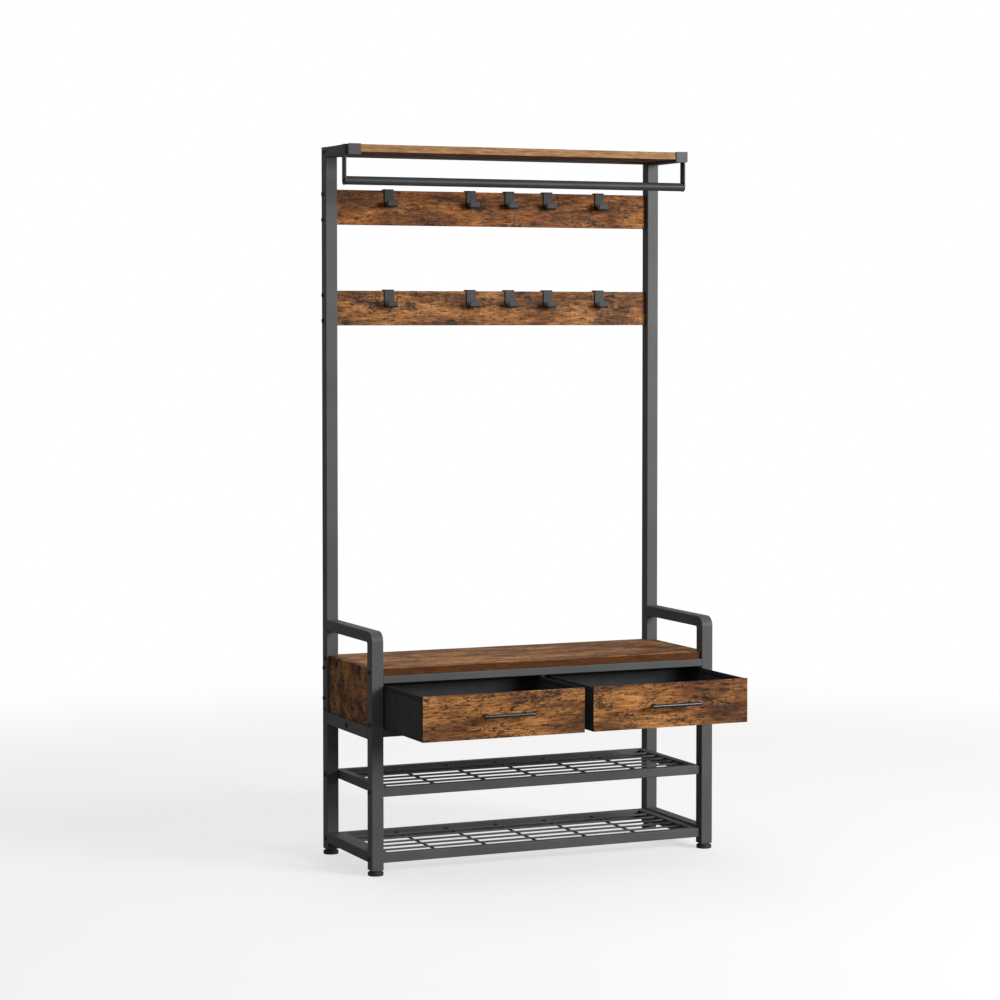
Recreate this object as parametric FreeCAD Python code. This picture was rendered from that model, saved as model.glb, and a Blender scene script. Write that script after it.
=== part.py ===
import FreeCAD, Part
import math
import os

V = FreeCAD.Vector

# Hall tree, millimetres, +Z up, front towards -Y.
# Everything is drawn about the middle of the four posts and moved by FRAME_Y on export,
# so that the origin is on the floor under the middle of the outline with the drawers open.
FRAME_Y = 133.5

# frame
WIDTH = 900.0
DEPTH = 330.0
HEIGHT = 1720.0
TUBE = 30.0
WALL = 1.5
CORNER = 2.0
POST_FOOT = 13.0
XO = WIDTH / 2
XI = XO - TUBE
YO = DEPTH / 2
YI = YO - TUBE
CAP = 2.0

# armrest, the bent top of the front leg
ARM_TOP = 574.5
ARM_H = 26.0
ARM_BEND = 24.0

# side rails between front leg and rear post
MID_Z0 = 320.0
MID_Z1 = 348.0
LOW_Z0 = 29.5
LOW_Z1 = 54.5
TOP_Z0 = 1695.0
TOP_FRONT = -22.0

# side panels, 15 mm board set into the side frame
PANEL_OUT = 443.0
PANEL_T = 15.0
PANEL_Z1 = 487.0

# bench
BENCH_TOP = 487.0
BENCH_T = 16.5
BENCH_Y = 157.0
APRON_H = 18.0
RAIL_D = 20.0
BACK_Y0 = 147.0
BACK_T = 15.0
BACK_Z0 = 370.0

# rails that carry the drawers
CARRY_Z0 = 327.0
CARRY_Z1 = 345.0
CARRY_MID_Y = 2.0
DIVIDER_T = 12.0
GUIDE_T = 1.4
GUIDE_H = 22.0

# drawers, drawn pulled out by DRAWER_OPEN
DRAWER_OPEN = 236.0
FRONT_X0 = 11.0
FRONT_X1 = 418.0
FRONT_Z0 = 345.7
FRONT_Z1 = 450.8
FRONT_T = 5.0
BIN_X0 = 12.0
BIN_X1 = 417.2
BIN_DEPTH = 299.0
BIN_TOP = 449.0
BIN_WALL = 2.5
BASE_T = 3.0
HANDLE_Z = 400.5
HANDLE_LEN = 128.0
HANDLE_PITCH = 96.0
HANDLE_R = 4.5
HANDLE_REACH = 28.0

# shoe shelves
SHELF_TOPS = (206.6, 50.6)
SHELF_H = 22.0
SHELF_Y = 157.0
SHELF_SIDE = 20.0
WIRE_R = 2.5
WIRE_YS = (-91.0, -45.5, 0.0, 45.5, 91.0)
WIRE_XS = (-267.0, -133.5, 0.0, 133.5, 267.0)

# top shelf and hanging rod
TOP_BOARD_T = 18.0
TOP_BOARD_Z1 = 1719.0
TOP_RAIL_Z0 = 1697.0
ROD_Z = 1634.0
ROD_Y = 4.0
ROD_R = 10.25
BRACKET_W = 22.0
BRACKET_T = 3.0

# hook boards and the hooks that ride on their top edges
BOARD_TOPS = (1618.5, 1374.0)
BOARD_H = 84.5
BOARD_Y0 = 148.0
BOARD_T = 15.0
BOARD_EDGE = 0.8
HOOK_XS = (-281.0, -63.0, 41.5, 146.0, 289.0)
HOOK_W = 24.0
HOOK_T = 3.0
HOOK_GAP = 0.3
HOOK_DROP = 41.0
HOOK_BACK = 20.0
HOOK_TIP_Y = 119.0
HOOK_TIP_H = 16.0

# fasteners
BOLT_R = 3.0
BORE_R = 3.15
HEAD_R = 5.75
HEAD_H = 2.6
SOCKET_R = 2.3
SOCKET_D = 1.6
NUT_R = 5.0
NUT_IN = 25.0
INSERT_LEN = 14.0

# feet
PAD_R = 18.5
PAD_H = 8.5
NECK_R = 14.0
STEM_R = 4.0
STEM_TOP = 34.0
INSERT_TOP = 33.0


def box(x0, x1, y0, y1, z0, z1):
    return Part.makeBox(x1 - x0, y1 - y0, z1 - z0, V(x0, y0, z0))


def rod(start, along, radius, length):
    return Part.makeCylinder(radius, length, start, along)


def runs_along(edge, axis):
    bounds = edge.BoundBox
    return {"x": bounds.XLength, "y": bounds.YLength, "z": bounds.ZLength}[axis]


def softened(solid, radius, kept=lambda edge: True):
    """The solid with its straight and curved edges rounded, those that kept() picks."""
    return solid.makeFillet(radius, [e for e in solid.Edges if kept(e)])


def board(x0, x1, y0, y1, z0, z1):
    return softened(box(x0, x1, y0, y1, z0, z1), BOARD_EDGE)


def tube(x0, x1, y0, y1, z0, z1, axis):
    """Square tube with rounded corners, open at both ends, running along the named axis."""
    low = [x0, y0, z0]
    high = [x1, y1, z1]
    span = high["xyz".index(axis)] - low["xyz".index(axis)]
    for i in range(3):
        step = -1.0 if "xyz"[i] == axis else WALL
        low[i] += step
        high[i] -= step
    outer = softened(box(x0, x1, y0, y1, z0, z1), CORNER, lambda e: abs(runs_along(e, axis) - span) < 1e-3)
    return outer.cut(box(low[0], high[0], low[1], high[1], low[2], high[2]))


def mirrored(shape):
    return shape.mirror(V(0, 0, 0), V(1, 0, 0))


def both(shape):
    return [shape, mirrored(shape)]


def rounded_wire(points, place):
    """Closed wire through (u, v, radius) corners; place turns u, v into a point in space."""
    spots = []
    count = len(points)
    for i in range(count):
        u, v, r = points[i]
        corner = V(u, v, 0)
        back = V(points[i - 1][0], points[i - 1][1], 0) - corner
        ahead = V(points[(i + 1) % count][0], points[(i + 1) % count][1], 0) - corner
        back.normalize()
        ahead.normalize()
        if r == 0:
            spots.append((corner, None, corner))
            continue
        half = back.getAngle(ahead) / 2
        middle = back + ahead
        middle.normalize()
        crown = corner + middle * (r / math.sin(half) - r)
        reach = r / math.tan(half)
        spots.append((corner + back * reach, crown, corner + ahead * reach))
    edges = []
    for i in range(count):
        a = spots[i - 1][2]
        b, crown, c = spots[i]
        if a.distanceToPoint(b) > 1e-6:
            edges.append(Part.LineSegment(place(a.x, a.y), place(b.x, b.y)).toShape())
        if crown is not None:
            arc = Part.Arc(place(b.x, b.y), place(crown.x, crown.y), place(c.x, c.y))
            edges.append(arc.toShape())
    return Part.Wire(edges)


def side_profile(points, x0, x1):
    """Solid with a (y, z, radius) outline, running along X from x0 to x1."""
    wire = rounded_wire(points, lambda y, z: V(x0, y, z))
    return Part.Face(wire).extrude(V(x1 - x0, 0, 0))


# ---- bolts through the posts -------------------------------------------------

def bolt_places():
    """(y, z, reach past the inner face of the post, outer face X) of the right-hand bolts."""
    board_y = BOARD_Y0 + BOARD_T / 2
    places = []
    for top in BOARD_TOPS:
        places.append((board_y, top - 11.0, 33.0, XO))
        places.append((board_y, top - BOARD_H + 11.5, 33.0, XO))
    places.append((SHELF_Y - RAIL_D / 2, TOP_BOARD_Z1 - 11.0, INSERT_LEN, XO))
    for side in (-1, 1):
        places.append((side * 149.0, BENCH_TOP - BENCH_T / 2, 33.0, XO))
        places.append((side * 150.0, CARRY_Z1 + GUIDE_H / 2, GUIDE_T, XO))
        for top in SHELF_TOPS:
            places.append((side * (SHELF_Y - RAIL_D / 2), top - SHELF_H / 2, INSERT_LEN, XO))
    places.append((BACK_Y0 + BACK_T / 2, 456.0, 33.0, XO))
    places.append((BACK_Y0 + BACK_T / 2, 381.5, 33.0, XO))
    places.append((CARRY_MID_Y, (CARRY_Z0 + CARRY_Z1) / 2, INSERT_LEN, XO))
    places.append((ROD_Y, ROD_Z, -TUBE + INSERT_LEN, XO + BRACKET_T))
    return places


def bolt(y, z, reach, face):
    end = XI - reach
    shank = rod(V(end, y, z), V(1, 0, 0), BOLT_R, face - end)
    head = rod(V(face, y, z), V(1, 0, 0), HEAD_R, HEAD_H)
    rim = [e for e in head.Edges if abs(e.BoundBox.XMin - face - HEAD_H) < 1e-4]
    head = head.makeFillet(1.2, [e for e in rim if e.BoundBox.YLength > HEAD_R])
    ring = []
    for k in range(7):
        a = math.radians(60 * k)
        ring.append(V(face + HEAD_H - SOCKET_D, y + SOCKET_R * math.cos(a), z + SOCKET_R * math.sin(a)))
    socket = Part.Face(Part.makePolygon(ring)).extrude(V(SOCKET_D + 1, 0, 0))
    return shank.fuse(head).cut(socket).removeSplitter()


def bored(shape):
    """The shape with a clearance hole wherever a bolt passes through it."""
    bounds = shape.BoundBox
    tools = []
    for y, z, reach, face in bolt_places():
        end = XI - reach - 0.5
        tool = rod(V(end, y, z), V(1, 0, 0), BORE_R, face - end)
        for item in both(tool):
            if bounds.intersect(item.BoundBox):
                tools.append(item)
    return shape.cut(tools) if tools else shape


def frame_bolts():
    made = []
    for y, z, reach, face in bolt_places():
        made += both(bolt(y, z, reach, face))
    return made


# ---- side frames -------------------------------------------------------------

def rear_post():
    return tube(XI, XO, YI, YO, POST_FOOT, HEIGHT - CAP, "z")


def leg_outline(inset, past):
    """Front leg and armrest in side view, drawn in by inset and run past both ends."""
    bottom = POST_FOOT - past
    rear = YI + past
    under = ARM_TOP - ARM_H
    return [
        (-YO + inset, bottom, 0),
        (-YO + inset, ARM_TOP - inset, ARM_BEND - inset),
        (rear, ARM_TOP - inset, 0),
        (rear, under + inset, 0),
        (-YI - inset, under + inset, 5 + inset),
        (-YI - inset, bottom, 0),
    ]


def at_open_end(edge):
    bounds = edge.BoundBox
    return bounds.ZMax < POST_FOOT + 1e-3 or bounds.YMin > YI - 1e-3


def front_leg():
    outer = side_profile(leg_outline(0, 0), XI, XO)
    outer = softened(outer, CORNER, lambda e: e.BoundBox.XLength < 1e-3 and not at_open_end(e))
    return outer.cut(side_profile(leg_outline(WALL, 1.0), XI + WALL, XO - WALL))


def mid_side_rail():
    return tube(XI, XO, -YI, YI, MID_Z0, MID_Z1, "y")


def lower_side_rail():
    return tube(XI, XO, -YI, YI, LOW_Z0, LOW_Z1, "y")


def top_side_rail():
    return tube(XI, XO, TOP_FRONT, YI, TOP_Z0, HEIGHT, "y")


def end_caps():
    """Plastic caps on the rear posts and on the front ends of the top side rails."""
    inner = TUBE / 2 - WALL
    xc = (XI + XO) / 2
    yc = (YI + YO) / 2
    top = box(XI, XO, YI, YO, HEIGHT - CAP, HEIGHT)
    top = top.fuse(box(xc - inner, xc + inner, yc - inner, yc + inner, HEIGHT - 8, HEIGHT - CAP))
    front = box(XI - 0.5, XO + 0.5, TOP_FRONT - CAP, TOP_FRONT, TOP_Z0 - 0.5, HEIGHT + 0.5)
    plug = box(XI + WALL, XO - WALL, TOP_FRONT, TOP_FRONT + 12, TOP_Z0 + WALL, HEIGHT - WALL)
    return both(top.removeSplitter()) + both(front.fuse(plug).removeSplitter())


def side_panel():
    return board(PANEL_OUT - PANEL_T, PANEL_OUT, -YI, YI, MID_Z1, PANEL_Z1)


def panel_screws():
    made = []
    for y in (-104.0, 104.0):
        shank = rod(V(PANEL_OUT - 12, y, 362), V(1, 0, 0), 1.6, 12)
        head = rod(V(PANEL_OUT, y, 362), V(1, 0, 0), 3.5, 1.0)
        made += both(shank.fuse(head).removeSplitter())
    return made


def pierced_panel(panel):
    tools = []
    for y in (-104.0, 104.0):
        tools += both(rod(V(PANEL_OUT - 12.5, y, 362), V(1, 0, 0), 1.7, 13))
    return panel.cut(tools)


# ---- bench and drawer housing ------------------------------------------------

def nut_places():
    """(centre, direction of the nut's axis) of the right-hand barrel nuts, from their open side."""
    x = XI - NUT_IN
    places = []
    for top in BOARD_TOPS:
        for z in (top - 11.0, top - BOARD_H + 11.5):
            places.append((V(x, BOARD_Y0 + BOARD_T, z), V(0, -1, 0)))
    for z in (456.0, 381.5):
        places.append((V(x, BACK_Y0 + BACK_T, z), V(0, -1, 0)))
    for side in (-1, 1):
        places.append((V(x, side * 149.0, BENCH_TOP - BENCH_T), V(0, 0, 1)))
    return places


def barrel_nuts():
    made = []
    for start, along in nut_places():
        made += both(bored(rod(start, along, NUT_R, 13.0)))
    return made


def drilled(plank):
    """A plank with its bolt holes and the pockets of its barrel nuts."""
    tools = []
    for start, along in nut_places():
        for item in both(rod(start - along, along, NUT_R + 0.1, 14.1)):
            if plank.BoundBox.intersect(item.BoundBox):
                tools.append(item)
    return bored(plank).cut(tools)


def bench_board():
    z0 = BENCH_TOP - BENCH_T
    wide = PANEL_OUT - PANEL_T
    seat = box(-XI, XI, -BENCH_Y, BENCH_Y, z0, BENCH_TOP)
    seat = seat.fuse(box(-wide, wide, -YI, YI, z0, BENCH_TOP)).removeSplitter()
    return drilled(softened(seat, BOARD_EDGE, lambda e: e.BoundBox.ZLength < 1e-3))


def bench_apron():
    z1 = BENCH_TOP - BENCH_T
    return tube(-XI, XI, -YO, -YO + RAIL_D, z1 - APRON_H, z1, "x")


def back_panel():
    return drilled(board(-XI, XI, BACK_Y0, BACK_Y0 + BACK_T, BACK_Z0, BENCH_TOP - BENCH_T))


def drawer_rails():
    """Three cross tubes that the drawers slide on: front, middle, rear."""
    made = []
    for y in (-YO, CARRY_MID_Y - RAIL_D / 2, BACK_Y0 - RAIL_D):
        made.append(bored(tube(-XI, XI, y, y + RAIL_D, CARRY_Z0, CARRY_Z1, "x")))
    return made


def drawer_guides():
    strip = box(XI - GUIDE_T, XI, -158, 158, CARRY_Z1, CARRY_Z1 + GUIDE_H)
    return both(bored(strip))


def divider():
    half = DIVIDER_T / 2
    z1 = BENCH_TOP - BENCH_T
    return board(-half, half, -YO + RAIL_D, BACK_Y0, CARRY_Z1, z1)


# ---- drawers -----------------------------------------------------------------

def front_face():
    return -YO - DRAWER_OPEN


def screw_holes(radius):
    xc = (FRONT_X0 + FRONT_X1) / 2
    start = front_face() - 1
    tools = []
    for side in (-1, 1):
        at = V(xc + side * HANDLE_PITCH / 2, start, HANDLE_Z)
        tools.append(rod(at, V(0, 1, 0), radius, FRONT_T + BIN_WALL + 2))
    return tools


def drawer_front():
    y = front_face()
    panel = board(FRONT_X0, FRONT_X1, y, y + FRONT_T, FRONT_Z0, FRONT_Z1)
    return panel.cut(screw_holes(2.1))


def drawer_bin():
    """Stiffened fabric box sewn from five panels."""
    y0 = front_face() + FRONT_T
    y1 = y0 + BIN_DEPTH
    w = BIN_WALL
    floor = FRONT_Z0 + w
    bottom = box(BIN_X0, BIN_X1, y0, y1, FRONT_Z0, floor)
    near = box(BIN_X0, BIN_X1, y0, y0 + w, floor, BIN_TOP).cut(screw_holes(2.1))
    far = box(BIN_X0, BIN_X1, y1 - w, y1, floor, BIN_TOP)
    left = box(BIN_X0, BIN_X0 + w, y0 + w, y1 - w, floor, BIN_TOP)
    right = box(BIN_X1 - w, BIN_X1, y0 + w, y1 - w, floor, BIN_TOP)
    return [bottom, near, far, left, right]


def drawer_base():
    y0 = front_face() + FRONT_T + BIN_WALL
    z0 = FRONT_Z0 + BIN_WALL
    x0 = BIN_X0 + BIN_WALL
    x1 = BIN_X1 - BIN_WALL
    return box(x0 + 1, x1 - 1, y0 + 1, y0 + BIN_DEPTH - 2 * BIN_WALL - 1, z0, z0 + BASE_T)


def drawer_handle():
    """Round bar on two short pillars."""
    xc = (FRONT_X0 + FRONT_X1) / 2
    y = front_face()
    bar_y = y - HANDLE_REACH
    bar = rod(V(xc - HANDLE_LEN / 2, bar_y, HANDLE_Z), V(1, 0, 0), HANDLE_R, HANDLE_LEN)
    ends = [e for e in bar.Edges if e.BoundBox.XLength < 1e-4]
    bar = bar.makeFillet(1.0, ends)
    made = [bar]
    for side in (-1, 1):
        at = V(xc + side * HANDLE_PITCH / 2, bar_y, HANDLE_Z)
        pillar = rod(at, V(0, 1, 0), 3.6, HANDLE_REACH)
        made.append(pillar.cut(bar).cut(rod(V(at.x, y - 12, at.z), V(0, 1, 0), 2.05, 13)))
    return made


def handle_screws():
    xc = (FRONT_X0 + FRONT_X1) / 2
    y = front_face()
    inner = y + FRONT_T + BIN_WALL
    made = []
    for side in (-1, 1):
        x = xc + side * HANDLE_PITCH / 2
        shank = rod(V(x, y - 11, HANDLE_Z), V(0, 1, 0), 2.0, inner - y + 11)
        head = rod(V(x, inner, HANDLE_Z), V(0, 1, 0), 4.0, 2.2)
        made.append(shank.fuse(head).removeSplitter())
    return made


# ---- shoe shelves ------------------------------------------------------------

def shelf_frame(top):
    z0 = top - SHELF_H
    inner = SHELF_Y - RAIL_D
    near = bored(tube(-XI, XI, -SHELF_Y, -inner, z0, top, "x"))
    far = bored(tube(-XI, XI, inner, SHELF_Y, z0, top, "x"))
    side = tube(XI - SHELF_SIDE, XI, -inner, inner, z0, top, "y")
    return [near, far] + both(side)


def shelf_grid(top):
    """Long wires over cross wires, let into each other where they are welded."""
    z_long = top - 4.0
    z_cross = z_long - 2 * WIRE_R + 1.0
    reach_x = XI - SHELF_SIDE
    reach_y = SHELF_Y - RAIL_D
    wires = []
    for y in WIRE_YS:
        wires.append(rod(V(-reach_x, y, z_long), V(1, 0, 0), WIRE_R, 2 * reach_x))
    for x in WIRE_XS:
        wires.append(rod(V(x, -reach_y, z_cross), V(0, 1, 0), WIRE_R, 2 * reach_y))
    return wires[0].fuse(wires[1:])


# ---- top shelf, rod, hook boards ---------------------------------------------

def top_board():
    z0 = TOP_BOARD_Z1 - TOP_BOARD_T
    return board(-XI, XI, TOP_FRONT + 1, SHELF_Y - RAIL_D, z0, TOP_BOARD_Z1)


def top_rear_rail():
    rail = tube(-XI, XI, SHELF_Y - RAIL_D, SHELF_Y, TOP_RAIL_Z0, TOP_BOARD_Z1, "x")
    return bored(rail)


def hanging_rod():
    outer = rod(V(-XO, ROD_Y, ROD_Z), V(1, 0, 0), ROD_R, WIDTH)
    return outer.cut(rod(V(-XO - 1, ROD_Y, ROD_Z), V(1, 0, 0), ROD_R - WALL, WIDTH + 2))


def rod_brackets():
    """Flat bars with round lower ends, welded to the outside of the top side rails."""
    half = BRACKET_W / 2
    z0 = ROD_Z - half
    r = half - 0.01
    outline = [
        (ROD_Y - half, z0, r),
        (ROD_Y + half, z0, r),
        (ROD_Y + half, HEIGHT, 0),
        (ROD_Y - half, HEIGHT, 0),
    ]
    return both(bored(side_profile(outline, XO, XO + BRACKET_T)))


def rail_inserts():
    """Threaded plugs inside the ends of the cross tubes and of the rod."""
    x0 = XI - INSERT_LEN
    y_in = SHELF_Y - RAIL_D + WALL
    y_out = SHELF_Y - WALL
    blocks = [box(x0, XI, y_in, y_out, TOP_RAIL_Z0 + WALL, TOP_BOARD_Z1 - WALL)]
    for top in SHELF_TOPS:
        z0 = top - SHELF_H + WALL
        blocks.append(box(x0, XI, y_in, y_out, z0, top - WALL))
        blocks.append(box(x0, XI, -y_out, -y_in, z0, top - WALL))
    half = RAIL_D / 2 - WALL
    mid = CARRY_MID_Y
    blocks.append(box(x0, XI, mid - half, mid + half, CARRY_Z0 + WALL, CARRY_Z1 - WALL))
    blocks.append(rod(V(XO - INSERT_LEN, ROD_Y, ROD_Z), V(1, 0, 0), ROD_R - WALL, INSERT_LEN))
    made = []
    for block in blocks:
        made += both(bored(block))
    return made


def hook_board(top):
    return drilled(board(-XI, XI, BOARD_Y0, BOARD_Y0 + BOARD_T, top - BOARD_H, top))


def hook(x, top):
    """Bent strip: down behind the board, over its top edge, down the front, out and up."""
    t = HOOK_T
    front = BOARD_Y0 - HOOK_GAP
    back = BOARD_Y0 + BOARD_T + HOOK_GAP
    over = top + HOOK_GAP
    low = top - HOOK_DROP
    tip = HOOK_TIP_Y
    outline = [
        (back, top - HOOK_BACK, 0),
        (back, over, 0.5),
        (front, over, 0.5),
        (front, low, 5.0),
        (tip, low, 5.0),
        (tip, low + HOOK_TIP_H, 0),
        (tip + t, low + HOOK_TIP_H, 0),
        (tip + t, low + t, 2.0),
        (front - t, low + t, 2.0),
        (front - t, over + t, 3.0),
        (back + t, over + t, 3.0),
        (back + t, top - HOOK_BACK, 0),
    ]
    return side_profile(outline, x - HOOK_W / 2, x + HOOK_W / 2)


# ---- feet --------------------------------------------------------------------

def foot(x, y):
    """Levelling foot: a round pad on a threaded stem that screws up into the post."""
    pad = rod(V(x, y, 0), V(0, 0, 1), PAD_R, PAD_H)
    rims = [e for e in pad.Edges if e.BoundBox.ZLength < 1e-4 and e.BoundBox.XLength > 1]
    pad = pad.makeFillet(1.2, rims)
    neck = rod(V(x, y, PAD_H), V(0, 0, 1), NECK_R, POST_FOOT - PAD_H)
    stem = rod(V(x, y, POST_FOOT), V(0, 0, 1), STEM_R, STEM_TOP - POST_FOOT)
    return pad.fuse([neck, stem]).removeSplitter()


def foot_inserts():
    made = []
    inner = TUBE / 2 - WALL
    xc = (XI + XO) / 2
    for yc in (-(YI + YO) / 2, (YI + YO) / 2):
        block = box(xc - inner, xc + inner, yc - inner, yc + inner, POST_FOOT, INSERT_TOP)
        bore = rod(V(xc, yc, POST_FOOT - 1), V(0, 0, 1), STEM_R + 0.05, INSERT_TOP)
        made += both(block.cut(bore))
    return made


# ---- export ------------------------------------------------------------------

def save(name, shape):
    solid = Part.makeCompound(shape) if isinstance(shape, list) else shape
    solid.translate(V(0, FRAME_Y, 0))
    solid.exportStep("parts/" + name + ".step")


def save_pair(name, shape):
    """Right-hand shape and its mirror image as two nodes."""
    save(name + "_left", mirrored(shape))
    save(name + "_right", shape)


def save_drawer(side, flip):
    pieces = {
        "front": [drawer_front()],
        "bin": drawer_bin(),
        "base": [drawer_base()],
        "handle": drawer_handle(),
        "screws": handle_screws(),
    }
    for name, shapes in pieces.items():
        if flip:
            shapes = [mirrored(s) for s in shapes]
        save("drawer_" + side + "_" + name, shapes if len(shapes) > 1 else shapes[0])


def main():
    os.makedirs("parts", exist_ok=True)
    save_pair("rear_post", bored(rear_post()))
    save_pair("front_leg", bored(front_leg()))
    save_pair("mid_side_rail", bored(mid_side_rail()))
    save_pair("lower_side_rail", lower_side_rail())
    save_pair("top_side_rail", top_side_rail())
    save_pair("side_panel", pierced_panel(side_panel()))
    save("end_caps", end_caps())
    save("panel_screws", panel_screws())
    save("bench_board", bench_board())
    save("bench_apron", bench_apron())
    save("back_panel", back_panel())
    save("drawer_rails", drawer_rails())
    save("drawer_guides", drawer_guides())
    save("drawer_divider", divider())
    save_drawer("right", False)
    save_drawer("left", True)
    for name, top in zip(("middle", "lower"), SHELF_TOPS):
        save("shelf_frame_" + name, shelf_frame(top))
        save("shelf_grid_" + name, shelf_grid(top))
    save("top_board", top_board())
    save("top_rear_rail", top_rear_rail())
    save("hanging_rod", hanging_rod())
    save("rod_brackets", rod_brackets())
    for name, top in zip(("upper", "lower"), BOARD_TOPS):
        save("hook_board_" + name, hook_board(top))
        for number, x in enumerate(HOOK_XS, 1):
            save("hook_" + name + "_" + str(number), hook(x, top))
    xc = (XI + XO) / 2
    yc = (YI + YO) / 2
    for name, x, y in (
        ("front_left", -xc, -yc),
        ("front_right", xc, -yc),
        ("rear_left", -xc, yc),
        ("rear_right", xc, yc),
    ):
        save("foot_" + name, foot(x, y))
    save("foot_inserts", foot_inserts())
    save("rail_inserts", rail_inserts())
    save("barrel_nuts", barrel_nuts())
    save("frame_bolts", frame_bolts())


main()
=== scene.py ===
import math

import bmesh
import bpy
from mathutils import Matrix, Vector


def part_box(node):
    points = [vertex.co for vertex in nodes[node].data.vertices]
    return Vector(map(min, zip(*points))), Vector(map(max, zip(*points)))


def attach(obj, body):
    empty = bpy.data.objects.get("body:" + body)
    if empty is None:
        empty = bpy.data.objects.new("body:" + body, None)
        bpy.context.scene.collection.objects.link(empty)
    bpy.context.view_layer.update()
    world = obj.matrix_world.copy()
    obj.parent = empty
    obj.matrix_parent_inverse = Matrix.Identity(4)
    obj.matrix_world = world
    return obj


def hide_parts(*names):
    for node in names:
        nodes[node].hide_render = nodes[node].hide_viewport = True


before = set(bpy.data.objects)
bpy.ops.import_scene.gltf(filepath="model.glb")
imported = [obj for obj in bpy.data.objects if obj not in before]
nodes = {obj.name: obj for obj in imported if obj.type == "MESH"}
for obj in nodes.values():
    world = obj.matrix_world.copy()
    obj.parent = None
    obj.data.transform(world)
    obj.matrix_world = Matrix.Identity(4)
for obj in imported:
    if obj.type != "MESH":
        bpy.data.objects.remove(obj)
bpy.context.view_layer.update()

SIDES = ("left", "right")

# middle of the four posts, front to back
MID_Y = (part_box("front_leg_left")[0][1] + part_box("rear_post_left")[1][1]) / 2


# ---- node helpers ------------------------------------------------------------

class Tree:
    """Short-hand for building a material's node tree."""

    def __init__(self, name):
        self.mat = bpy.data.materials.new(name)
        self.mat.use_nodes = True
        self.tree = self.mat.node_tree
        self.shader = self.tree.nodes["Principled BSDF"]

    def add(self, kind, **settings):
        node = self.tree.nodes.new("ShaderNode" + kind)
        for key, value in settings.items():
            setattr(node, key, value)
        return node

    def link(self, source, target):
        self.tree.links.new(source, target)

    def feed(self, node, **inputs):
        for key, value in inputs.items():
            socket = node.inputs[key.replace("_", " ")]
            if isinstance(value, bpy.types.NodeSocket):
                self.link(value, socket)
            else:
                socket.default_value = value
        return node

    def place(self, scale=(1, 1, 1), shift=(0, 0, 0), turn=(0, 0, 0)):
        spot = self.add("TexCoord").outputs["Object"]
        mapping = self.add("Mapping")
        mapping.inputs["Scale"].default_value = scale
        mapping.inputs["Location"].default_value = shift
        mapping.inputs["Rotation"].default_value = turn
        self.link(spot, mapping.inputs["Vector"])
        return mapping.outputs["Vector"]

    def noise(self, vector, scale, detail=3.0, rough=0.5, distortion=0.0):
        node = self.add("TexNoise")
        self.feed(node, Vector=vector, Scale=scale, Detail=detail, Roughness=rough, Distortion=distortion)
        return node.outputs["Fac"]

    def ramp(self, value, stops):
        node = self.add("ValToRGB")
        self.link(value, node.inputs["Fac"])
        band = node.color_ramp
        while len(band.elements) < len(stops):
            band.elements.new(0.5)
        for element, (spot, colour) in zip(band.elements, stops):
            element.position = spot
            element.color = (*colour, 1.0)
        return node.outputs["Color"]

    def levels(self, value, low, high, out_low=0.0, out_high=1.0):
        node = self.add("MapRange")
        node.interpolation_type = "SMOOTHSTEP"
        self.link(value, node.inputs["Value"])
        for key, number in zip(("From Min", "From Max", "To Min", "To Max"), (low, high, out_low, out_high)):
            node.inputs[key].default_value = number
        return node.outputs["Result"]

    def mix(self, factor, a, b, blend="MIX"):
        node = self.add("Mix", data_type="RGBA", blend_type=blend)
        for socket, value in ((node.inputs[0], factor), (node.inputs[6], a), (node.inputs[7], b)):
            if isinstance(value, bpy.types.NodeSocket):
                self.link(value, socket)
            elif isinstance(value, (int, float)):
                socket.default_value = value
            else:
                socket.default_value = (*value, 1.0)
        return node.outputs[2]

    def math(self, operation, a, b=0.0):
        node = self.add("Math", operation=operation)
        for socket, value in zip(node.inputs, (a, b)):
            if isinstance(value, bpy.types.NodeSocket):
                self.link(value, socket)
            else:
                socket.default_value = value
        return node.outputs[0]

    def bump(self, height, strength, distance):
        node = self.add("Bump")
        self.feed(node, Height=height, Strength=strength, Distance=distance)
        self.link(node.outputs["Normal"], self.shader.inputs["Normal"])


# ---- finishes ----------------------------------------------------------------

def powder_coat(name, colour, gloss=0.46):
    """Matt stove-dried powder paint: fine orange peel, faint cloudiness."""
    t = Tree(name)
    at = t.place()
    cloud = t.noise(at, 9.0, 4.0, 0.6)
    grit = t.noise(at, 900.0, 2.0, 0.6)
    dark = tuple(c * 0.86 for c in colour)
    light = tuple(c * 1.14 for c in colour)
    tone = t.ramp(cloud, [(0.3, dark), (0.7, light)])
    speck = t.levels(grit, 0.62, 0.75)
    t.feed(t.shader, Base_Color=t.mix(speck, tone, tuple(c * 1.5 for c in colour)))
    t.feed(t.shader, Roughness=t.levels(grit, 0.2, 0.8, gloss - 0.05, gloss + 0.1))
    t.shader.inputs["Specular IOR Level"].default_value = 0.2
    t.bump(grit, 0.10, 0.0001)
    return t.mat


SINGED = (0.066, 0.032, 0.016)
BURNT = (0.020, 0.014, 0.010)
PORE = (0.026, 0.013, 0.008)
FLECK = (0.016, 0.010, 0.007)


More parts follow.
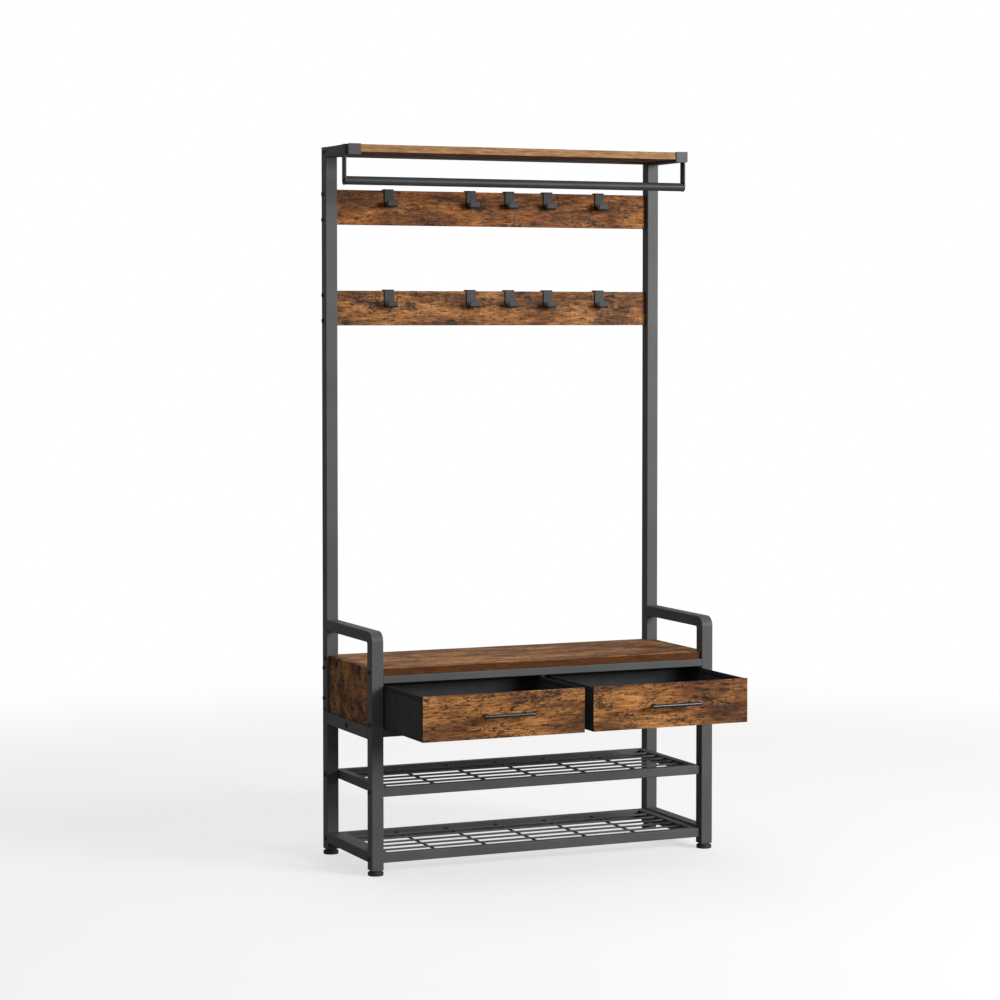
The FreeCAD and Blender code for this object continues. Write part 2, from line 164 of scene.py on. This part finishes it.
def rustic_wood(name, shift, turn=(0, 0, 0), warmth=1.0, tint=(1, 1, 1), face="Z", edging=None,
                charred=0.0):
    """Printed rustic board: grain along X, burnt patches, pores, flecks and faint saw marks.

    face is the axis the two broad faces look along, edging the colour of the other faces,
    and charred widens the burnt patches.
    """
    t = Tree(name)

    def layer(along, across, detail, rough, distortion=0.0):
        """Noise whose features are 1/along and 1/across metres long and wide."""
        at = t.place((along, across, across), shift, turn)
        return t.noise(at, 1.0, detail, rough, distortion)

    plank = layer(5.0, 17.0, 3.0, 0.6, 0.4)
    streak = layer(19.0, 150.0, 7.0, 0.74, 0.15)
    pore = layer(48.0, 230.0, 3.0, 0.66)
    hair = layer(42.0, 700.0, 4.0, 0.7)
    saw = layer(300.0, 40.0, 3.0, 0.6)
    smudge = layer(12.0, 27.0, 6.0, 0.76, 0.4)
    ragged = layer(85.0, 190.0, 5.0, 0.78)
    fleck = layer(130.0, 330.0, 3.0, 0.65)

    grain = t.ramp(streak, [
        (0.35, (0.40, 0.33, 0.28)),
        (0.50, (0.93, 0.91, 0.88)),
        (0.64, (1.46, 1.42, 1.32)),
    ])
    fibre = t.ramp(hair, [
        (0.34, (0.46, 0.41, 0.38)),
        (0.50, (0.95, 0.94, 0.93)),
        (0.66, (1.34, 1.32, 1.26)),
    ])
    cuts = t.ramp(saw, [(0.34, (0.66, 0.63, 0.60)), (0.66, (1.22, 1.20, 1.14))])
    body = t.mix(1.0, t.ramp(plank, [
        (0.34, (0.120, 0.048, 0.018)),
        (0.47, (0.240, 0.098, 0.031)),
        (0.56, (0.365, 0.160, 0.048)),
        (0.68, (0.460, 0.215, 0.072)),
    ]), grain, "MULTIPLY")
    edge = t.math("ADD", smudge, t.math("MULTIPLY", t.math("SUBTRACT", ragged, 0.5), 0.60))
    singed = t.levels(edge, 0.48 - charred, 0.62 - charred, 0.0, 0.62)
    body = t.mix(singed, body, SINGED)
    burnt = t.levels(edge, 0.580 - charred, 0.635 - charred, 0.0, 0.92)
    body = t.mix(burnt, body, BURNT)
    body = t.mix(t.levels(pore, 0.555, 0.605, 0.0, 0.86), body, PORE)
    body = t.mix(t.levels(fleck, 0.62, 0.67, 0.0, 0.86), body, FLECK)
    body = t.mix(0.85, body, fibre, "MULTIPLY")
    body = t.mix(0.45, body, cuts, "MULTIPLY")
    body = t.mix(1.0, body, tuple(warmth * c for c in tint), "MULTIPLY")
    if edging:
        facing = t.add("SeparateXYZ")
        t.link(t.add("NewGeometry").outputs["True Normal"], facing.inputs[0])
        flat = t.levels(t.math("ABSOLUTE", facing.outputs[face]), 0.35, 0.75)
        band = t.mix(0.8, t.mix(0.6, edging, grain, "MULTIPLY"), fibre, "MULTIPLY")
        body = t.mix(flat, band, body)
    t.feed(t.shader, Base_Color=body)
    t.feed(t.shader, Roughness=t.levels(streak, 0.3, 0.7, 0.60, 0.46))
    t.shader.inputs["Specular IOR Level"].default_value = 0.11
    relief = t.math("ADD", t.math("MULTIPLY", streak, 0.5), t.math("MULTIPLY", pore, -0.5))
    t.bump(relief, 0.30, 0.0005)
    return t.mat


def bin_cloth(name, colour):
    """Non-woven cloth over board: pressed fibres with a faint ribbed weave."""
    t = Tree(name)
    at = t.place()
    rib = t.add("TexWave", wave_type="BANDS", bands_direction="DIAGONAL")
    t.feed(rib, Vector=t.place((1.0, 1.0, 0.0)), Scale=330.0, Distortion=1.2, Detail=2.0)
    felt = t.noise(at, 1400.0, 3.0, 0.7)
    cloud = t.noise(at, 26.0, 3.0, 0.6)
    weave = t.math("MULTIPLY", rib.outputs["Fac"], felt)
    low = tuple(c * 0.72 for c in colour)
    high = tuple(c * 1.35 for c in colour)
    tone = t.mix(t.levels(weave, 0.1, 0.5), low, high)
    tone = t.mix(t.levels(cloud, 0.35, 0.7, 0.0, 0.30), tone, tuple(c * 1.6 for c in colour))
    t.feed(t.shader, Base_Color=tone, Roughness=0.92)
    t.shader.inputs["Sheen Weight"].default_value = 0.03
    t.shader.inputs["Sheen Roughness"].default_value = 0.5
    t.shader.inputs["Specular IOR Level"].default_value = 0.08
    t.bump(weave, 0.5, 0.0004)
    return t.mat


def moulded(name, colour, gloss):
    """Injection-moulded plastic with a light spark-eroded grain."""
    t = Tree(name)
    at = t.place()
    grain = t.noise(at, 1500.0, 2.0, 0.5)
    cloud = t.noise(at, 60.0, 2.0, 0.5)
    tone = t.mix(cloud, tuple(c * 0.8 for c in colour), tuple(c * 1.25 for c in colour))
    t.feed(t.shader, Base_Color=tone, Roughness=t.levels(grain, 0.3, 0.7, gloss - 0.04, gloss + 0.08))
    t.shader.inputs["Specular IOR Level"].default_value = 0.3
    t.bump(grain, 0.12, 0.0001)
    return t.mat


def brushed(name, colour, gloss, metal=1.0):
    """Plain or blackened metal with fine lines along X."""
    t = Tree(name)
    lines = t.noise(t.place((12.0, 900.0, 900.0)), 1.0, 3.0, 0.6)
    tone = t.mix(lines, tuple(c * 0.75 for c in colour), tuple(c * 1.25 for c in colour))
    sheen = t.levels(lines, 0.3, 0.7, gloss - 0.05, gloss + 0.07)
    t.feed(t.shader, Base_Color=tone, Roughness=sheen, Metallic=metal)
    t.bump(lines, 0.08, 0.0001)
    return t.mat


STEEL = powder_coat("dark_powder_coat", (0.079, 0.080, 0.081))
HOOK_STEEL = powder_coat("hook_powder_coat", (0.026, 0.026, 0.027), 0.42)
BOLT = brushed("black_oxide", (0.030, 0.030, 0.031), 0.36, 0.7)
PULL = brushed("gunmetal", (0.040, 0.040, 0.042), 0.28, 0.7)
ZINC = brushed("zinc_plate", (0.55, 0.55, 0.56), 0.32)
PLASTIC = moulded("black_moulding", (0.034, 0.034, 0.034), 0.45)
ROD_STEEL = powder_coat("rod_powder_coat", (0.040, 0.040, 0.041), 0.40)
CLOTH = bin_cloth("bin_cloth", (0.044, 0.044, 0.045))
HEM = bin_cloth("hem_tape", (0.026, 0.026, 0.027))
THREAD = moulded("sewing_thread", (0.060, 0.060, 0.062), 0.60)
INSERT = moulded("bin_base_board", (0.020, 0.020, 0.020), 0.70)

QUARTER = math.pi / 2
BLACKED = (0.008, 0.0075, 0.007)          # edge banding of the drawer fronts
PALE_EDGE = (0.335, 0.180, 0.078)
BENCH_EDGE = (0.096, 0.028, 0.002)
BOARDS = {
    "top_board": rustic_wood("top_wood", (0.3, 0.0, 2.0), edging=PALE_EDGE),
    "hook_board_upper": rustic_wood("upper_hook_board_wood", (3.1, 1.3, 0.4), tint=(1.04, 0.90, 0.66)),
    "hook_board_lower": rustic_wood("lower_hook_board_wood", (5.7, 4.2, 1.9)),
    "bench_board": rustic_wood("bench_wood", (8.4, 2.6, 3.3), tint=(1.16, 1.14, 0.98), edging=BENCH_EDGE,
                               charred=-0.015),
    "back_panel": rustic_wood("back_panel_wood", (2.2, 6.1, 5.0)),
    "drawer_divider": rustic_wood("divider_wood", (1.2, 7.1, 4.0), (0, 0, QUARTER)),
    "side_panel_left": rustic_wood("left_panel_wood", (4.4, 3.3, 6.1), (0, 0, QUARTER), 1.15, charred=0.035),
    "side_panel_right": rustic_wood("right_panel_wood", (7.4, 5.3, 2.1), (0, 0, QUARTER), 1.2, charred=0.03),
    "drawer_left_front": rustic_wood("left_drawer_wood", (6.3, 0.7, 7.7), face="Y", edging=BLACKED),
    "drawer_right_front": rustic_wood("right_drawer_wood", (9.1, 1.9, 5.2), face="Y", edging=BLACKED),
}


def dress(obj, material):
    obj.data.materials.clear()
    obj.data.materials.append(material)


def finish_for(name):
    if name in BOARDS:
        return BOARDS[name]
    if name.endswith("_handle"):
        return PULL
    if name.endswith("_base"):
        return INSERT
    if name.startswith("hook_"):
        return HOOK_STEEL
    if name in ("hanging_rod", "rod_brackets"):
        return ROD_STEEL
    if name in ("frame_bolts", "panel_screws") or name.endswith("_screws"):
        return BOLT
    if name in ("barrel_nuts", "rail_inserts"):
        return ZINC
    if name in ("end_caps", "foot_inserts") or name.startswith("foot_"):
        return PLASTIC
    return STEEL


for name, obj in nodes.items():
    dress(obj, finish_for(name))


# ---- cloth bins --------------------------------------------------------------

CLOTH_T = 0.0024          # a wall: board with cloth on both sides
CORNER_R = 0.004          # outer corners
CORNER_MIN = 0.0006       # and the sharpest an inner corner gets
CORNER_POINTS = 5
LONG_WALL_STEPS = 22
SIDE_WALL_STEPS = 16
FOLD = (0.492, 0.508)     # shoulders of the fold, either side of a side wall's middle
BOW = 0.0011              # how far a wall pulls in about half way up
BOW_PACE = 1.15           # that bow is spent at 1 / 1.15 of the height
BOW_RIM = 0.0009          # pull at the rim
CREASE = 0.0006           # depth of the fold
TAPE_DEEP = 0.010         # how far the hem tape comes down a wall
TAPE_PROUD = 0.0006       # and how far it stands off it
TAPE_BELLY = 1.3          # the tape stands off this many times as far at its belly,
TAPE_BELLY_AT = 0.6       # which is at this share of its depth
TAPE_SHOULDER = 0.0010    # below the rim, where the tape starts to turn over it
TAPE_EASE = 0.0003        # how far the turn is rounded
TAPE_CROWN = 0.0007       # height of the turn over the rim
STITCH_PROUD = 1.4        # stitches lie over the tape, in its thicknesses
STITCH_PITCH, STITCH_LONG, THREAD_R = 0.0046, 0.0032, 0.00036
STITCH_DROP = 0.0074      # from the rim down to the row of stitches
LEVELS = 9                # rows of faces up a wall


def new_piece(name, mesh, material):
    obj = bpy.data.objects.new(name, mesh)
    bpy.context.scene.collection.objects.link(obj)
    mesh.materials.clear()
    mesh.materials.append(material)
    return obj


def mesh_of(bm, name):
    bmesh.ops.recalc_face_normals(bm, faces=bm.faces)
    mesh = bpy.data.meshes.new(name)
    bm.to_mesh(mesh)
    bm.free()
    for polygon in mesh.polygons:
        polygon.use_smooth = True
    return mesh


def wall_ring(box, inset, z):
    """Loop round a bin at height z, inset from its outer face, following the walls' bow."""
    (x0, y0, z0), (x1, y1, z1) = box
    cx, cy = (x0 + x1) / 2, (y0 + y1) / 2
    hx, hy = (x1 - x0) / 2 - inset, (y1 - y0) / 2 - inset
    r = max(CORNER_R - inset, CORNER_MIN)
    v = (z - z0) / (z1 - z0)
    long_wall = [k / LONG_WALL_STEPS for k in range(1, LONG_WALL_STEPS)]
    side_wall = sorted([k / SIDE_WALL_STEPS for k in range(1, SIDE_WALL_STEPS)] + list(FOLD))
    corners = ((1, -1), (1, 1), (-1, 1), (-1, -1))
    points = []
    for i, (sx, sy) in enumerate(corners):
        for k in range(CORNER_POINTS):
            a = math.radians(90 * i - 90 + 90 / (CORNER_POINTS - 1) * k)
            points.append((cx + sx * (hx - r) + r * math.cos(a), cy + sy * (hy - r) + r * math.sin(a), z))
        nx, ny = corners[(i + 1) % 4]
        on_side = sx == nx
        for f in (side_wall if on_side else long_wall):
            along = math.sin(math.pi * f)
            pull = BOW * along * math.sin(math.pi * min(v * BOW_PACE, 1.0)) + BOW_RIM * along * v ** 3
            if on_side:
                pull += CREASE * (f == 0.5)
                points.append((cx + sx * (hx - pull), cy + (sy + f * (ny - sy)) * (hy - r), z))
            else:
                points.append((cx + (sx + f * (nx - sx)) * (hx - r), cy + sy * (hy - pull), z))
    return points


def skin(bm, rings, closed=False):
    """Quads between rings of equally many points."""
    rows = [[bm.verts.new(p) for p in ring] for ring in rings]
    n = len(rows[0])
    pairs = list(zip(rows, rows[1:])) + ([(rows[-1], rows[0])] if closed else [])
    for a, b in pairs:
        for i in range(n):
            bm.faces.new((a[i], a[(i + 1) % n], b[(i + 1) % n], b[i]))
    return rows


def bin_shell(name, box):
    """Open cloth box: outer skin up, over the rim and down the inside."""
    z0, z1 = box[0][2], box[1][2]
    up = [k / LEVELS for k in range(LEVELS + 1)]
    outside = [wall_ring(box, 0.0, z0 + (z1 - z0) * v) for v in up]
    floor = z0 + CLOTH_T
    inside = [wall_ring(box, CLOTH_T, floor + (z1 - floor) * v) for v in reversed(up)]
    bm = bmesh.new()
    rows = skin(bm, outside + inside)
    bm.faces.new(rows[0])
    bm.faces.new(rows[-1])
    return new_piece(name, mesh_of(bm, name), CLOTH)


def hem(name, box):
    """Tape folded over the rim."""
    top = box[1][2]
    out = TAPE_PROUD
    belly = out * TAPE_BELLY
    belly_drop = -TAPE_DEEP * TAPE_BELLY_AT
    profile = [
        (-out, -TAPE_DEEP),
        (-belly, belly_drop),
        (-out, -TAPE_SHOULDER),
        (TAPE_EASE, TAPE_EASE),
        (CLOTH_T / 2, TAPE_CROWN),
        (CLOTH_T - TAPE_EASE, TAPE_EASE),
        (CLOTH_T + out, -TAPE_SHOULDER),
        (CLOTH_T + belly, belly_drop),
        (CLOTH_T + out, -TAPE_DEEP),
    ]
    bm = bmesh.new()
    skin(bm, [wall_ring(box, inset, top + drop) for inset, drop in profile], closed=True)
    return new_piece(name, mesh_of(bm, name), HEM)


# ---- what repeats, by geometry nodes -----------------------------------------

def node_tree(name, sizes):
    """Empty geometry tree with named size inputs and a finish; gives the tree and its ends."""
    tree = bpy.data.node_groups.new(name, "GeometryNodeTree")
    tree.interface.new_socket("Geometry", in_out="INPUT", socket_type="NodeSocketGeometry")
    for size in sizes:
        tree.interface.new_socket(size, in_out="INPUT", socket_type="NodeSocketFloat")
    tree.interface.new_socket("Finish", in_out="INPUT", socket_type="NodeSocketMaterial")
    tree.interface.new_socket("Geometry", in_out="OUTPUT", socket_type="NodeSocketGeometry")
    return tree, tree.nodes.new("NodeGroupInput"), tree.nodes.new("NodeGroupOutput")


def finish_tree(tree, start, end, instances):
    """Realize the instances, smooth them and give them their finish."""
    real = tree.nodes.new("GeometryNodeRealizeInstances")
    smooth = tree.nodes.new("GeometryNodeSetShadeSmooth")
    paint = tree.nodes.new("GeometryNodeSetMaterial")
    tree.links.new(instances, real.inputs[0])
    tree.links.new(real.outputs[0], smooth.inputs["Geometry"])
    tree.links.new(smooth.outputs[0], paint.inputs["Geometry"])
    tree.links.new(start.outputs["Finish"], paint.inputs["Material"])
    tree.links.new(paint.outputs[0], end.inputs[0])


def bead(tree, start, sizes, segments, rings):
    """Unit ball scaled to three named sizes."""
    ball = tree.nodes.new("GeometryNodeMeshUVSphere")
    ball.inputs["Segments"].default_value = segments
    ball.inputs["Rings"].default_value = rings
    ball.inputs["Radius"].default_value = 1.0
    scale = tree.nodes.new("ShaderNodeCombineXYZ")
    for i, size in enumerate(sizes):
        tree.links.new(start.outputs[size], scale.inputs[i])
    shaped = tree.nodes.new("GeometryNodeTransform")
    tree.links.new(ball.outputs["Mesh"], shaped.inputs["Geometry"])
    tree.links.new(scale.outputs[0], shaped.inputs["Scale"])
    return shaped.outputs[0]


def stitch_tree():
    """Even stitches laid end to end along a seam line."""
    tree, start, end = node_tree("stitch_row", ("Pitch", "Half Length", "Thread Radius"))
    seam = tree.nodes.new("GeometryNodeMeshToCurve")
    tree.links.new(start.outputs["Geometry"], seam.inputs["Mesh"])
    spaced = tree.nodes.new("GeometryNodeResampleCurve")
    spaced.mode = "LENGTH"
    tree.links.new(seam.outputs[0], spaced.inputs["Curve"])
    tree.links.new(start.outputs["Pitch"], spaced.inputs["Length"])
    along = tree.nodes.new("FunctionNodeAlignRotationToVector")
    along.axis = "Z"
    tree.links.new(tree.nodes.new("GeometryNodeInputTangent").outputs[0], along.inputs["Vector"])
    sewn = tree.nodes.new("GeometryNodeInstanceOnPoints")
    tree.links.new(spaced.outputs[0], sewn.inputs["Points"])
    stitch = bead(tree, start, ("Thread Radius", "Thread Radius", "Half Length"), 6, 5)
    tree.links.new(stitch, sewn.inputs["Instance"])
    tree.links.new(along.outputs[0], sewn.inputs["Rotation"])
    finish_tree(tree, start, end, sewn.outputs[0])
    return tree


def weld_tree():
    """A squashed weld bead on every marked crossing."""
    tree, start, end = node_tree("weld_spots", ("Half Width", "Half Height"))
    spots = tree.nodes.new("GeometryNodeInstanceOnPoints")
    tree.links.new(start.outputs["Geometry"], spots.inputs["Points"])
    spot = bead(tree, start, ("Half Width", "Half Width", "Half Height"), 10, 6)
    tree.links.new(spot, spots.inputs["Instance"])
    finish_tree(tree, start, end, spots.outputs[0])
    return tree


def grown(name, tree, vertices, edges, material, **sizes):
    """Run a tree on a bare line or points and keep the result as a plain mesh."""
    bare = bpy.data.meshes.new(name + "_line")
    bare.from_pydata(vertices, edges, [])
    source = bpy.data.objects.new(name + "_line", bare)
    bpy.context.scene.collection.objects.link(source)
    grower = source.modifiers.new("grow", "NODES")
    grower.node_group = tree
    given = {key.replace("_", " "): value for key, value in sizes.items()}
    given["Finish"] = material
    for socket in tree.interface.items_tree:
        if socket.in_out == "INPUT" and socket.name in given:
            grower[socket.identifier] = given[socket.name]
    bpy.context.view_layer.update()
    deps = bpy.context.evaluated_depsgraph_get()
    mesh = bpy.data.meshes.new_from_object(source.evaluated_get(deps), depsgraph=deps)
    source.modifiers.remove(grower)
    bpy.data.objects.remove(source)
    mesh.name = name
    return new_piece(name, mesh, material)


SEWING, WELDING = stitch_tree(), weld_tree()


def hem_stitches(name, box):
    """One row outside and one inside, through the tape."""
    z = box[1][2] - STITCH_DROP
    vertices, edges = [], []
    proud = TAPE_PROUD * STITCH_PROUD
    for inset in (-proud, CLOTH_T + proud):
        first = len(vertices)
        ring = wall_ring(box, inset, z)
        vertices += ring
        edges += [(first + i, first + (i + 1) % len(ring)) for i in range(len(ring))]
    return grown(name, SEWING, vertices, edges, THREAD,
                 Pitch=STITCH_PITCH, Half_Length=STITCH_LONG / 2, Thread_Radius=THREAD_R)


for side in SIDES:
    node = "drawer_" + side + "_bin"
    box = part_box(node)
    shell = bin_shell("drawer_" + side + "_cloth", box)
    tape = hem("drawer_" + side + "_hem", box)
    sewing = hem_stitches("drawer_" + side + "_stitches", box)
    for piece in (shell, tape, sewing):
        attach(piece, "drawer_" + side)
    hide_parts(node)


# ---- weld beads on the shelf grids -------------------------------------------

CROSS_STEP = 0.1335       # between the wires that run front to back
LONG_STEP = 0.0455        # between the wires that run side to side
WELD_HALF_WIDTH, WELD_HALF_HEIGHT = 0.0031, 0.0027
for level in ("middle", "lower"):
    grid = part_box("shelf_grid_" + level)
    mid_z = (grid[0][2] + grid[1][2]) / 2
    crossings = [(i * CROSS_STEP, MID_Y + k * LONG_STEP, mid_z) for i in range(-2, 3) for k in range(-2, 3)]
    beads = grown("shelf_" + level + "_welds", WELDING, crossings, [], STEEL,
                  Half_Width=WELD_HALF_WIDTH, Half_Height=WELD_HALF_HEIGHT)
    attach(beads, "frame")


# ---- studio ------------------------------------------------------------------

BACKDROP = 1.0            # brightness of the backdrop when looked at
AMBIENT = 0.33            # and of the light it gives
BOUNCE = 0.26             # shade of the floor as the object sees it
FLOOR_LIFT = 0.62         # share of backdrop in the floor under the object
FLOOR_NEAR = 1.7          # from here the floor fades into the backdrop
FLOOR_FAR = 3.6           # and here it is all backdrop
FLOOR_HALF = 40.0

# name, place from the floor under the object's middle, height aimed at, side of the square, power
LAMPS = (
    ("key", (3.4, -4.9, 2.3), 0.9, 2.4, 395),
    ("top", (0.2, -0.6, 5.0), 0.0, 4.0, 35),
    ("rear", (0.4, 3.6, 4.4), 0.9, 2.0, 45),
)


def seen_directly(tree):
    """1 for what is looked at straight, 0 for the light it gives to other things."""
    return tree.nodes.new("ShaderNodeLightPath").outputs["Is Camera Ray"]


def floor_finish():
    """White paper floor that fades into the lit backdrop away from the object."""
    t = Tree("studio_floor")
    at = t.place(shift=(0, -MID_Y, 0))
    mottle = t.noise(at, 3.0, 2.0)
    paper = t.mix(mottle, (0.93, 0.93, 0.93), (0.95, 0.95, 0.95))
    bounce = (BOUNCE, BOUNCE, BOUNCE)
    t.feed(t.shader, Base_Color=t.mix(seen_directly(t.tree), bounce, paper), Roughness=0.9)
    t.shader.inputs["Specular IOR Level"].default_value = 0.0
    reach = t.add("VectorMath", operation="LENGTH")
    t.link(at, reach.inputs[0])
    fade = t.levels(reach.outputs["Value"], FLOOR_NEAR, FLOOR_FAR, FLOOR_LIFT, 1.0)
    glow = t.add("Emission")
    glow.inputs["Strength"].default_value = BACKDROP
    blend = t.add("MixShader")
    t.link(t.math("MULTIPLY", fade, seen_directly(t.tree)), blend.inputs[0])
    t.link(t.shader.outputs[0], blend.inputs[1])
    t.link(glow.outputs[0], blend.inputs[2])
    t.link(blend.outputs[0], t.tree.nodes["Material Output"].inputs["Surface"])
    return t.mat


def hang_lamp(name, offset, aim_z, side, power):
    """Square soft box turned towards the object."""
    data = bpy.data.lights.new(name, "AREA")
    data.shape = "RECTANGLE"
    data.size = side
    data.size_y = side
    data.energy = power
    place = Vector((offset[0], MID_Y + offset[1], offset[2]))
    obj = bpy.data.objects.new(name, data)
    obj.location = place
    obj.rotation_mode = "QUATERNION"
    obj.rotation_quaternion = (Vector((0, MID_Y, aim_z)) - place).to_track_quat("-Z", "Y")
    bpy.context.scene.collection.objects.link(obj)


def studio():
    """White floor, white backdrop and three soft boxes."""
    mesh = bpy.data.meshes.new("floor")
    span = FLOOR_HALF
    corners = [(-span, -span, 0), (span, -span, 0), (span, span, 0), (-span, span, 0)]
    mesh.from_pydata(corners, [], [(0, 1, 2, 3)])
    new_piece("floor", mesh, floor_finish())

    world = bpy.data.worlds.new("studio")
    world.use_nodes = True
    tree = world.node_tree
    level = tree.nodes.new("ShaderNodeMapRange")
    tree.links.new(seen_directly(tree), level.inputs["Value"])
    level.inputs["To Min"].default_value = AMBIENT
    level.inputs["To Max"].default_value = BACKDROP
    background = tree.nodes["Background"]
    background.inputs["Color"].default_value = (1, 1, 1, 1)
    tree.links.new(level.outputs["Result"], background.inputs["Strength"])
    bpy.context.scene.world = world

    for name, offset, aim_z, side, power in LAMPS:
        hang_lamp(name, offset, aim_z, side, power)
    bpy.context.scene.view_settings.view_transform = "Standard"


studio()


# ---- camera ------------------------------------------------------------------

SENSOR_MM = 36.0
LENS_MM = 102.206
RISE = -0.06              # lens shift, in sensor widths
STAND = (-2.8422, -6.3209, 1.3056)
TILT_DOWN = 2.4436        # degrees below level
TURN = 23.8366            # degrees to the right of straight back


def camera():
    data = bpy.data.cameras.new("camera")
    data.sensor_width = SENSOR_MM
    data.lens = LENS_MM
    data.shift_y = RISE
    obj = bpy.data.objects.new("camera", data)
    obj.location = (STAND[0], MID_Y + STAND[1], STAND[2])
    obj.rotation_euler = (math.radians(90.0 - TILT_DOWN), 0.0, math.radians(-TURN))
    bpy.context.scene.collection.objects.link(obj)
    bpy.context.scene.camera = obj


camera()
